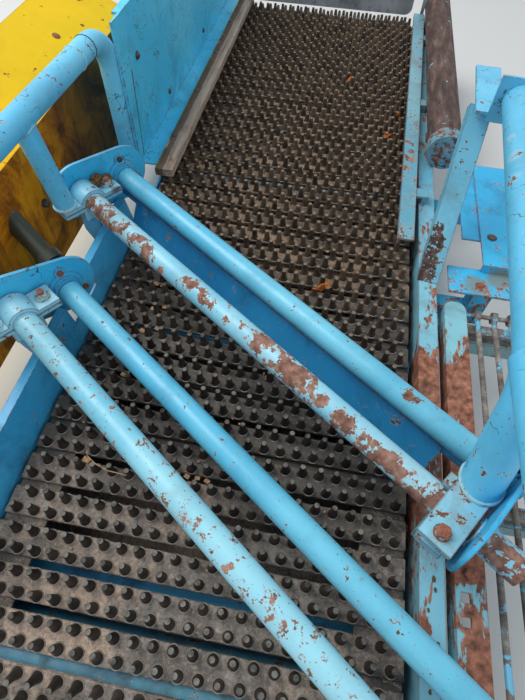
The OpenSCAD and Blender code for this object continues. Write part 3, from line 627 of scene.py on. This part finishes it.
half = slat_len / 2.0
foot = band_t / 2.0
top = foot + slat_t
slat_outline = [(-half, foot + 0.001), (-half, top - 0.0022), (-half + 0.0016, top - 0.0004),
                (-half + 0.005, top), (-0.008, top - 0.0003), (0.008, top - 0.0003),
                (half - 0.005, top), (half - 0.0016, top - 0.0004), (half, top - 0.0022),
                (half, foot + 0.001), (half - 0.001, foot), (-half + 0.001, foot)]
slat_batch = Batch()
steps = 36
for k in range(slats):
    move = slat_frame(first_slat + k * pitch)
    ring = []
    faces = []
    n = len(slat_outline)
    for i in range(steps + 1):
        x = -belt_w / 2.0 + belt_w * i / steps
        for y, z in slat_outline:
            worn = noise.noise(Vector((x * 14.0, k * 3.1 + y * 40.0, 0.0))) * 0.0006
            edge = noise.noise(Vector((x * 30.0, k * 7.7, 5.0))) * 0.0009 if abs(y) > half - 0.003 else 0.0
            lift = worn if z > foot + 0.004 else 0.0
            ring.append((x, y + math.copysign(1.0, y) * min(edge, 0.0), z + lift))
    for i in range(steps):
        for j in range(n):
            m = (j + 1) % n
            faces.append((i * n + j, i * n + m, (i + 1) * n + m, (i + 1) * n + j))
    faces.append(tuple(reversed(range(n))))
    faces.append(tuple(range(steps * n, (steps + 1) * n)))
    slat_batch.add(ring, faces, move)
slat_piece = slat_batch.build("belt_slats", "slat", "belt_rubber")
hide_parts("belt")

band_batch = Batch()
band_section = [(-0.037, -band_t / 2.0 + 0.001), (-0.036, -band_t / 2.0), (0.036, -band_t / 2.0),
                (0.037, -band_t / 2.0 + 0.001), (0.037, foot - 0.001), (0.036, foot),
                (-0.036, foot), (-0.037, foot - 0.001)]
band_steps = 200
for x in (-0.297, 0.297):
    frames = []
    for i in range(band_steps):
        m = slat_frame(i * belt_length / band_steps)
        frames.append((m.translation + RIGHT * x, RIGHT, m.col[2].xyz))
    band_batch.add(*swept(band_section, frames, True))
band_batch.build("belt_bands", "band", "belt_rubber")

# Pins: 22 and 21 in the two rows of a slat, staggered by half their gap; the top run's are finer
fine_pin = [(0.0086, 0.0), (0.0082, 0.0012), (0.0074, 0.004), (0.0054, 0.024), (0.0050, 0.0288),
            (0.0044, 0.0300)]
plain_pin = [(0.0084, 0.0), (0.0052, 0.0250), (0.0044, 0.0300)]
fine_tips = [0.0, 0.0, 0.0, 0.0, 0.62, 1.0]
plain_tips = [0.0, 0.0, 1.0]
collar = [(0.0106, -0.0004), (0.0103, 0.0009), (0.0096, 0.0014), (0.0086, 0.0008)]
top_pins = Batch()
other_pins = Batch()
collars = Batch()
for k in range(slats):
    u = first_slat + k * pitch
    move = slat_frame(u)
    on_top = u < run_l or u > belt_length - 0.12
    for side, count, shift in ((-1.0, 22, 0.0), (1.0, 21, pin_gap / 2.0)):
        for i in range(count):
            x = first_pin + shift + pin_gap * i
            y = side * row_gap / 2.0
            lean = Matrix.Rotation(rng.gauss(0.0, pin_sway), 4, "X")
            lean = lean @ Matrix.Rotation(rng.gauss(0.0, pin_sway), 4, "Y")
            tall = rng.uniform(0.93, 1.0) if rng.random() > 0.03 else rng.uniform(0.6, 0.85)
            at = move @ Matrix.Translation((x, y, top)) @ lean @ Matrix.Diagonal((1, 1, tall, 1))
            if on_top:
                verts, faces = turned(fine_pin, fine_sides)
                top_pins.add(verts, faces, at, [t for t in fine_tips for _ in range(fine_sides)])
                base = move @ Matrix.Translation((x, y, top - 0.0004))
                verts, faces = turned(collar, 12)
                collars.add(verts, faces[:-2], base)
            else:
                verts, faces = turned(plain_pin, plain_sides)
                other_pins.add(verts, faces, at, [t for t in plain_tips for _ in range(plain_sides)])
top_pins.build("belt_pins_top", "pin", "belt_rubber")
other_pins.build("belt_pins_under", "pin", "belt_rubber")
collars.build("belt_pin_collars", "collar", "belt_rubber")

# Trim: fasteners, weld beads, the side tube's end ring, dried soil, chips and leaves.
# Deflector units: how they are turned about z, and the places of their parts along the tube
lay = math.radians(35.5)
tube_z = 0.362
tube_r = 0.02225
arm = 0.106
left_clamp = -0.485
right_clamp = 0.447
plate_faces = (-0.5145, 0.4815)
bearing_faces = ((-0.511, 1.0), (0.478, -1.0))
lobe_r = 0.041
bar_top = tube_r + 0.010
# where each tube crosses x = 0, and how far its arm tilts
units = [(-0.5515, -4.5), (-0.8796, -15.5)]
# left rail: its turn about z, its place at the leg, and its radius under rings and weld beads
yaw = math.radians(3.0)
rail_x = -0.4203
leg_y = 0.023
rail_z = 0.570
rail_r = 0.0242
rail_skin = 0.0246
rail_way = Vector((math.sin(yaw), math.cos(yaw), 0.0))
# left braces, right posts, and the faces and middles that bolts stand on
brace_r = 0.0215
clamp_top = 0.3725
post_r = 0.030
wall_face = -0.3905
wall_bolt_x = -0.391
cover_face = -0.560
side_tube_x = 0.408
side_tube_z = 0.286
side_tube_end = 0.1848
shaft_bolt_r = 0.0385
hub_bolt_r = 0.0255


def unit_frame(y):
    return Matrix.Translation((0.0, y, tube_z)) @ Matrix.Rotation(-lay, 4, "Z")


# The left rail's middle at a place along the belt
def rail_at(y):
    return Vector((rail_x + (y - leg_y) * math.sin(yaw), y, rail_z))


# Stands a shape made about z at a point, pointing along a direction
def facing(at, direction, spin=0.0):
    turn = Vector(direction).normalized().to_track_quat("Z", "Y").to_matrix().to_4x4()
    return Matrix.Translation(at) @ turn @ Matrix.Rotation(spin, 4, "Z")


def hexagon(r, h):
    return turned([(r * 0.97, 0.0), (r, 0.0004), (r, h * 0.82), (r * 0.84, h)], 6)


def disc(r, h, sides=20):
    return turned([(r * 0.96, 0.0), (r, h * 0.3), (r, h * 0.7), (r * 0.94, h)], sides)


def dome(r, h, sides=16):
    return turned([(r, 0.0), (r * 0.94, h * 0.45), (r * 0.70, h * 0.82), (r * 0.30, h)], sides)


# A round bead along a closed or open line of points
def bead(points, r, closed=True, sides=7, wobble=0.25):
    frames = []
    n = len(points)
    for i, p in enumerate(points):
        p = Vector(p)
        after = Vector(points[(i + 1) % n] if closed or i < n - 1 else points[i])
        before = Vector(points[(i - 1) % n] if closed or i > 0 else points[i])
        along = (after - before).normalized()
        side = along.cross(Vector((0.13, 0.21, 0.97))).normalized()
        up = side.cross(along)
        size = 1.0 + wobble * noise.noise(p * 260.0)
        frames.append((p, side * size, up * size))
    section = [(r * math.cos(math.tau * k / sides), r * math.sin(math.tau * k / sides))
               for k in range(sides)]
    return swept(section, frames, closed)


# Points of an ellipse round a middle, from its two half axes
def ellipse(middle, side, up, count):
    turns = [math.tau * k / count for k in range(count)]
    return [middle + side * math.cos(t) + up * math.sin(t) for t in turns]


# A box about the z axis: half its width and length, and the heights of its two faces
def block(wide, long, low, high):
    verts = [(x, y, z) for x in (-wide, wide) for y in (-long, long) for z in (low, high)]
    return verts, [(0, 1, 3, 2), (4, 6, 7, 5), (0, 4, 5, 1), (2, 3, 7, 6), (0, 2, 6, 4), (1, 5, 7, 3)]


# A thin plate on the tall wall's inner face, from its corners (y, z)
def wall_plate(corners, thickness):
    verts = [(wall_face + out, y, z) for out in (0.0, thickness) for y, z in corners]
    return verts, [(3, 2, 1, 0), (4, 5, 6, 7), (0, 1, 5, 4), (1, 2, 6, 5), (2, 3, 7, 6), (3, 0, 4, 7)]


# A lump of dried soil
def clod(at, reach, seed, rows=12, around=18):
    verts = []
    faces = []
    for i in range(1, rows):
        a = math.pi * i / rows
        for k in range(around):
            b = math.tau * k / around
            d = Vector((math.sin(a) * math.cos(b), math.sin(a) * math.sin(b), math.cos(a)))
            size = 1.0 + 0.5 * noise.noise(d * 2.6 + Vector((seed, 0, 0))) + 0.28 * noise.noise(d * 8.0)
            verts.append(Vector(at) + d * Vector(reach) * size)
    for i in range(rows - 2):
        for k in range(around):
            j = (k + 1) % around
            faces.append((i * around + k, (i + 1) * around + k, (i + 1) * around + j, i * around + j))
    faces.append(tuple(range(around)))
    faces.append(tuple(reversed(range((rows - 2) * around, (rows - 1) * around))))
    return verts, faces


# Small parts by kind; each kind is one object with its finish and body
class Trim:
    def __init__(self):
        self.kinds = {}

    def put(self, kind, finish, slot, shape, move=None, body="frame"):
        if kind not in self.kinds:
            self.kinds[kind] = (Batch(), finish, slot, body)
        self.kinds[kind][0].add(shape[0], shape[1], move)

    def build(self):
        for kind, (batch, finish, slot, body) in self.kinds.items():
            batch.build(kind, finish, slot, body, 32.0)


trim = Trim()
AXIS = Vector((math.cos(lay), -math.sin(lay), 0.0))
ACROSS = Vector((math.sin(lay), math.cos(lay), 0.0))
for number, (cross, tilt) in enumerate(units, 1):
    unit = unit_frame(cross)
    deflector = f"deflector_{number}"
    bearing_finish = "dark_bolt" if number == 1 else "bolt"
    tilted = math.radians(tilt)
    roller = Vector((0.0, arm * math.cos(tilted), arm * math.sin(tilted)))
    # nuts on the left clamps
    at = unit @ Vector((left_clamp, 0.050, 0.009))
    trim.put("clamp_washers", "nut", "pale_blue_paint", disc(0.0145, 0.0018), facing(at, UP))
    trim.put("clamp_nuts", "nut", "pale_blue_paint", hexagon(0.0112, 0.0098),
             facing(at, UP, 0.4 * number))
    trim.put("clamp_studs", "bolt", "rusty_steel", turned([(0.0063, 0.0), (0.0063, 0.015),
             (0.0052, 0.0168)], 14), facing(at, UP))
    # hexagon bolts on the right clamps' flat bars
    at = unit @ Vector((right_clamp, -0.049, bar_top))
    trim.put("bar_washers", "bolt", "rusty_steel", disc(0.0122, 0.0016), facing(at, UP))
    trim.put("bar_bolts", "bolt", "rusty_steel", hexagon(0.0108, 0.0120),
             facing(at, UP, 0.2 + 0.5 * number))
    at = unit @ Vector((right_clamp - 0.032, 0.022, tube_r + 0.005))
    trim.put("bar_side_nuts", "clamp", "pale_blue_paint", block(0.0065, 0.010, -0.0055, 0.0055),
             Matrix.Translation(at) @ Matrix.Rotation(-lay, 4, "Z"))
    # bolts on the bearings' lobes
    for lobe in (90, 210, 330):
        a = math.radians(lobe)
        spot = roller + Vector((0.0, lobe_r * math.cos(a), lobe_r * math.sin(a)))
        for x, way in bearing_faces:
            at = unit @ (spot + RIGHT * x)
            out = AXIS * way
            trim.put(f"bearing_bolts_{number}", bearing_finish, "dark_steel", hexagon(0.0068, 0.0062),
                     facing(at, out, 0.3 * lobe), deflector)
    # the roller shaft's washers and nut outside the right end plate
    at = unit @ (roller + Vector((0.490, 0.0, 0.0)))
    for r, start in ((0.0215, 0.0005), (0.0185, 0.0030)):
        trim.put(f"shaft_washers_{number}", "bolt", "rusty_steel", disc(r, 0.0026, 24),
                 facing(at + AXIS * start, AXIS), f"roller_{number}")
    # weld beads between the tube and the end plates, on the inner sides
    weld_r = tube_r + 0.0012
    for x in plate_faces:
        ring = ellipse(unit @ (RIGHT * x), ACROSS * weld_r, UP * weld_r, 40)
        trim.put(f"plate_welds_{number}", "bead", "blue_paint", bead(ring, 0.0024), None, deflector)

# Left braces: beads at the flange and under the rail, where the brace's skin meets the rail's
for cross, _ in units:
    foot = unit_frame(cross) @ Vector((left_clamp, -0.054, 0.0))
    head = rail_at(foot.y - 0.016)
    start = Vector((foot.x, foot.y, 0.371))
    way = (head - start).normalized()
    side = way.cross(Vector((0.0, 1.0, 0.0))).normalized()
    other = way.cross(side)
    low = []
    high = []
    for edge in ellipse(start, side * brace_r, other * brace_r, 36):
        low.append(edge + way * ((clamp_top - edge.z) / way.z))
        near_s = 0.0
        far_s = 0.30
        for _ in range(24):
            mid = (near_s + far_s) / 2.0
            point = edge + way * mid - head
            apart = (point - rail_way * point.dot(rail_way)).length
            if apart > rail_skin and point.dot(way) < 0.0:
                near_s = mid
            else:
                far_s = mid
        high.append(edge + way * near_s)
    trim.put("brace_foot_welds", "bead", "pale_blue_paint", bead(low, 0.0034))
    trim.put("brace_head_welds", "bead", "blue_paint", bead(high, 0.0028))

# Rings on the left rail, and beads at its far leg
for y, r, finish in ((-0.060, 0.0012, "dark_bolt"), (-0.108, 0.0014, "bead"), (-0.800, 0.0014, "bead")):
    ring = ellipse(rail_at(y), rail_way.cross(UP) * rail_r, UP * rail_r, 44)
    trim.put(f"rail_ring_{finish}", finish, "blue_paint", bead(ring, r, wobble=0.1))
ring = ellipse(Vector((rail_x, leg_y, 0.2605)), Vector((rail_skin, 0, 0)), Vector((0, rail_skin, 0)), 40)
trim.put("leg_weld", "bead", "blue_paint", bead(ring, 0.0028))

# Right posts: beads on the flat bars
for cross, _ in units:
    foot = unit_frame(cross) @ Vector((right_clamp, 0.050, bar_top))
    turn_post = Matrix.Rotation(math.radians(-4.1 if cross > -0.7 else 0.0), 4, "Z")
    ring = ellipse(foot + UP * 0.0012, turn_post @ Vector((post_r, 0, 0)),
                   turn_post @ Vector((0, post_r * 1.07, 0)), 48)
    trim.put("post_welds", "bead", "pale_blue_paint", bead(ring, 0.0032))

# Single bolts: place, direction, radius, height, kind of head, finish
single = [
    ((wall_bolt_x, 0.115, 0.481), RIGHT, 0.0085, 0.007, dome, "dark_bolt"),
    ((cover_face, -0.207, 0.270), RIGHT, 0.0095, 0.012, hexagon, "dark_bolt"),
    ((cover_face, -0.193, 0.404), RIGHT, 0.0105, 0.012, hexagon, "nut"),
    ((cover_face, 0.275, 0.409), RIGHT, 0.0105, 0.012, hexagon, "nut"),
    ((0.506, -0.125, 0.284), UP, 0.0095, 0.006, dome, "dark_bolt"),
    ((0.477, -0.262, 0.263), UP, 0.0078, 0.006, dome, "bolt"),
    ((0.429, -0.862, 0.240), UP, 0.0110, 0.008, hexagon, "bolt"),
    ((0.322, 0.204, 0.267), UP, 0.0068, 0.002, dome, "bolt"),
    ((wall_bolt_x, 0.300, 0.300), RIGHT, 0.0070, 0.005, dome, "dark_bolt"),
    ((wall_bolt_x, 0.700, 0.300), RIGHT, 0.0070, 0.005, dome, "dark_bolt"),
    ((wall_bolt_x, 1.000, 0.300), RIGHT, 0.0070, 0.005, dome, "dark_bolt"),
]
for at, way, r, h, head, finish in single:
    trim.put(f"single_washers_{finish}", finish, "dark_steel", disc(r * 1.22, 0.0012), facing(at, way))
    trim.put(f"single_bolts_{finish}", finish, "dark_steel", head(r, h), facing(at, way, r * 100.0))
# a rusted screw on the hood's slope
slope = Vector((0.081, 0.0, 0.192)).normalized()
trim.put("hood_screw", "bolt", "rusty_steel", dome(0.0105, 0.0022, 13),
         facing((-0.6478, 0.214, 0.4583), slope))
# bolts along the board and mounting bolts on the shaft bearings
for y in (0.12, 0.36, 0.60, 0.84, 1.06):
    trim.put("board_bolts", "dark_bolt", "dark_steel", dome(0.0085, 0.0035),
             facing((-0.326, y, 0.280), UP))
for y in (near_y, far_y):
    for x, way in ((-0.353, -1.0), (0.363, 1.0)):
        for k in range(3):
            a = math.radians(90 + 120 * k)
            at = (x, y + shaft_bolt_r * math.cos(a), axis_z + shaft_bolt_r * math.sin(a))
            trim.put("bearing_plate_bolts", "dark_bolt", "dark_steel", hexagon(0.0062, 0.0052),
                     facing(at, (way, 0.0, 0.0)))

# The folded end of the tall wall: a pale strip and the dark seam beside it
strip = [(0.014, 0.262), (0.038, 0.262), (0.066, 0.500), (0.014, 0.500)]
trim.put("wall_end_strip", "wall", "blue_paint", wall_plate(strip, 0.0014))
seam = [(0.038, 0.262), (0.043, 0.262), (0.069, 0.470), (0.064, 0.470)]
trim.put("wall_seam", "dark_bolt", "blue_paint", wall_plate(seam, 0.0007))

# The side tube's painted end ring and the hub in its end
for y0, y1, r in ((0.1845, 0.226, 0.0487), (0.2262, 0.232, 0.0472)):
    verts, faces = turned([(r * 0.985, 0.0), (r, 0.0015), (r, y1 - y0 - 0.001), (0.0462, y1 - y0)], 40)
    trim.put("tube_end_ring", "ring", "rusty_blue", (verts, faces),
             facing((side_tube_x, y0, side_tube_z), (0, 1, 0)))
hub = turned([(0.0165, 0.0), (0.0165, 0.0035), (0.0130, 0.0045), (0.0130, 0.0080), (0.0060, 0.0092)], 22)
trim.put("tube_hub", "ring", "rusty_blue", hub,
         facing((side_tube_x, side_tube_end, side_tube_z), (0, -1, 0)))
for k in range(5):
    a = math.tau * k / 5 + 0.3
    at = (side_tube_x + hub_bolt_r * math.cos(a), side_tube_end, side_tube_z + hub_bolt_r * math.sin(a))
    trim.put("tube_hub_bolts", "bolt", "rusty_steel", hexagon(0.0052, 0.0042), facing(at, (0, -1, 0)))

# Dried soil beside the first left clamp, and lumps along the frame
unit = unit_frame(units[0][0])
for spot, reach, seed, rows, around in (((-0.4995, 0.036, 0.018), (0.0110, 0.0170, 0.0120), 1.0, 22, 32),
                                        ((-0.4985, 0.060, 0.012), (0.0100, 0.0120, 0.0080), 4.0, 20, 28)):
    trim.put("dried_soil", "clod", "old_board", clod(unit @ Vector(spot), reach, seed, rows, around))
for k in range(26):
    y = rng.uniform(-1.15, -0.25)
    # a spare draw, so that the later places stay as they are
    rng.random()
    size = rng.uniform(0.0015, 0.0038)
    spot = (0.3585 + rng.uniform(0.004, 0.022), y, 0.2400 + size * 0.2)
    trim.put("dried_soil", "clod", "old_board",
             clod(spot, (size, size * 1.6, size * 0.35), float(k), 6, 9))

# Chips, straw and leaves that lie on the belt
chips = [
    (-0.237, -0.363, 0.013, 0.009), (-0.220, -0.366, 0.011, 0.010), (-0.222, -0.434, 0.009, 0.009),
    (-0.197, -0.426, 0.013, 0.008), (-0.226, -0.496, 0.012, 0.010), (-0.216, -0.486, 0.008, 0.006),
    (-0.197, -0.485, 0.010, 0.007), (-0.229, -0.607, 0.009, 0.008), (-0.233, -0.789, 0.014, 0.009),
    (-0.067, -0.783, 0.009, 0.007), (-0.049, -0.785, 0.010, 0.007), (-0.030, -0.785, 0.009, 0.006),
    (-0.012, -0.787, 0.010, 0.007), (0.013, -0.866, 0.004, 0.003), (-0.206, -0.655, 0.004, 0.003),
]
for x, y in [(rng.uniform(-0.30, 0.30), rng.uniform(-1.05, 0.9)) for _ in range(70)]:
    chips.append((x, y, rng.uniform(0.002, 0.0065), rng.uniform(0.002, 0.005)))
for x, y, long, wide in chips:
    move = Matrix.Translation((x, y, belt_z + 0.0006)) @ Matrix.Rotation(rng.uniform(-0.5, 0.1), 4, "Z")
    move = move @ Matrix.Rotation(rng.uniform(-0.1, 0.1), 4, "X")
    trim.put("wood_chips", "chip", "old_board", block(long / 2, wide / 2, 0.0, 0.0022), move)
straws = [[(-0.229, -0.780, 0.246), (-0.222, -0.791, 0.251), (-0.204, -0.802, 0.2515),
           (-0.178, -0.810, 0.2515), (-0.145, -0.811, 0.249)],
          [(0.02, -0.35, 0.226), (0.045, -0.345, 0.230), (0.075, -0.352, 0.228)],
          [(-0.25, 0.10, 0.228), (-0.22, 0.13, 0.232), (-0.19, 0.15, 0.230)]]
for line in straws:
    trim.put("straw", "chip", "old_board", bead(line, 0.0009, closed=False, sides=5))
leaves = [(0.128, -0.322, 0.016, 0.4), (0.150, -0.314, 0.014, 2.2), (0.123, 0.590, 0.016, 1.3),
          (0.263, 0.306, 0.014, 2.8), (0.283, 0.420, 0.010, 0.2)]
around = 16
for x, y, size, spin in leaves:
    verts = [(0.0, 0.0, 0.004)]
    for k in range(around):
        a = math.tau * k / around
        r = size * (0.55 + 0.45 * abs(math.cos(a)) + 0.18 * noise.noise(Vector((a * 3.0, x * 50, y * 50))))
        verts.append((r * math.cos(a), r * 0.62 * math.sin(a), 0.010 * math.sin(a * 2.0 + spin) * r / size))
    count = len(verts)
    verts += [(a, b, c - 0.0006) for a, b, c in verts]
    rim = [(1 + k, 1 + (k + 1) % around) for k in range(around)]
    faces = [(0, a, b) for a, b in rim]
    faces += [(count, count + b, count + a) for a, b in rim]
    faces += [(a, count + a, count + b, b) for a, b in rim]
    move = Matrix.Translation((x, y, belt_z + 0.024)) @ Matrix.Rotation(spin, 4, "Z")
    trim.put("leaves", "leaf", "old_board", (verts, faces), move @ Matrix.Rotation(0.35, 4, "X"))
trim.build()

# Floor, light and camera
mesh = bpy.data.meshes.new("floor")
mesh.from_pydata([(-9, -9, 0), (9, -9, 0), (9, 9, 0), (-9, 9, 0)], [], [(0, 1, 2, 3)])
mesh.materials.append(Look("floor_grey").finish((206, 206, 204), 0.9))
floor = add_object("floor", mesh)

world = bpy.data.worlds.new("studio")
scene.world = world
world.use_nodes = True
tree = world.node_tree
tree.nodes.clear()
add = tree.nodes.new
link = tree.links.new
ways = add("ShaderNodeLightPath")
soft = add("ShaderNodeBackground")
soft.inputs[0].default_value = (0.86, 0.93, 1.0, 1.0)
soft.inputs[1].default_value = 0.62
pale = add("ShaderNodeBackground")
pale.inputs[0].default_value = (0.90, 0.92, 0.94, 1.0)
pale.inputs[1].default_value = 1.0
seen = ways.outputs["Is Camera Ray"]
for kind in ("Is Glossy Ray", "Is Transmission Ray"):
    either = add("ShaderNodeMath")
    either.operation = "MAXIMUM"
    link(seen, either.inputs[0])
    link(ways.outputs[kind], either.inputs[1])
    seen = either.outputs[0]
pick = add("ShaderNodeMixShader")
link(seen, pick.inputs[0])
link(soft.outputs[0], pick.inputs[1])
link(pale.outputs[0], pick.inputs[2])
end = add("ShaderNodeOutputWorld")
link(pick.outputs[0], end.inputs[0])


def lamp(name, at, look_at, size, power, colour):
    data = bpy.data.lights.new(name, "AREA")
    data.shape = "DISK"
    data.size = size
    data.energy = power
    data.color = colour
    piece = add_object(name, data)
    piece.location = at
    piece.rotation_euler = (Vector(look_at) - Vector(at)).to_track_quat("-Z", "Y").to_euler()


lamp("key", (-2.6, 0.6, 4.2), (0.0, -0.3, 0.2), 3.2, 190.0, (1.0, 0.97, 0.93))
lamp("fill", (2.4, -3.2, 2.8), (0.0, -0.3, 0.2), 3.0, 45.0, (0.9, 0.95, 1.0))

lens = bpy.data.cameras.new("photo_view")
lens.sensor_fit = "VERTICAL"
lens.sensor_height = 36.0
lens.sensor_width = 36.0
lens.lens = 24.675
lens.clip_start = 0.01
lens.clip_end = 60.0
camera = add_object("photo_view", lens)
right = Vector((0.98355, 0.17922, 0.02262))
down = Vector((0.16115, -0.81395, -0.55813))
ahead = Vector((-0.08162, 0.55260, -0.82944))
turn = Matrix((right, -down, -ahead)).transposed()
camera.matrix_world = Matrix.Translation((0.115, -1.047, 1.04988)) @ turn.to_4x4()
bpy.context.scene.camera = camera
bpy.context.scene.view_settings.view_transform = "Standard"
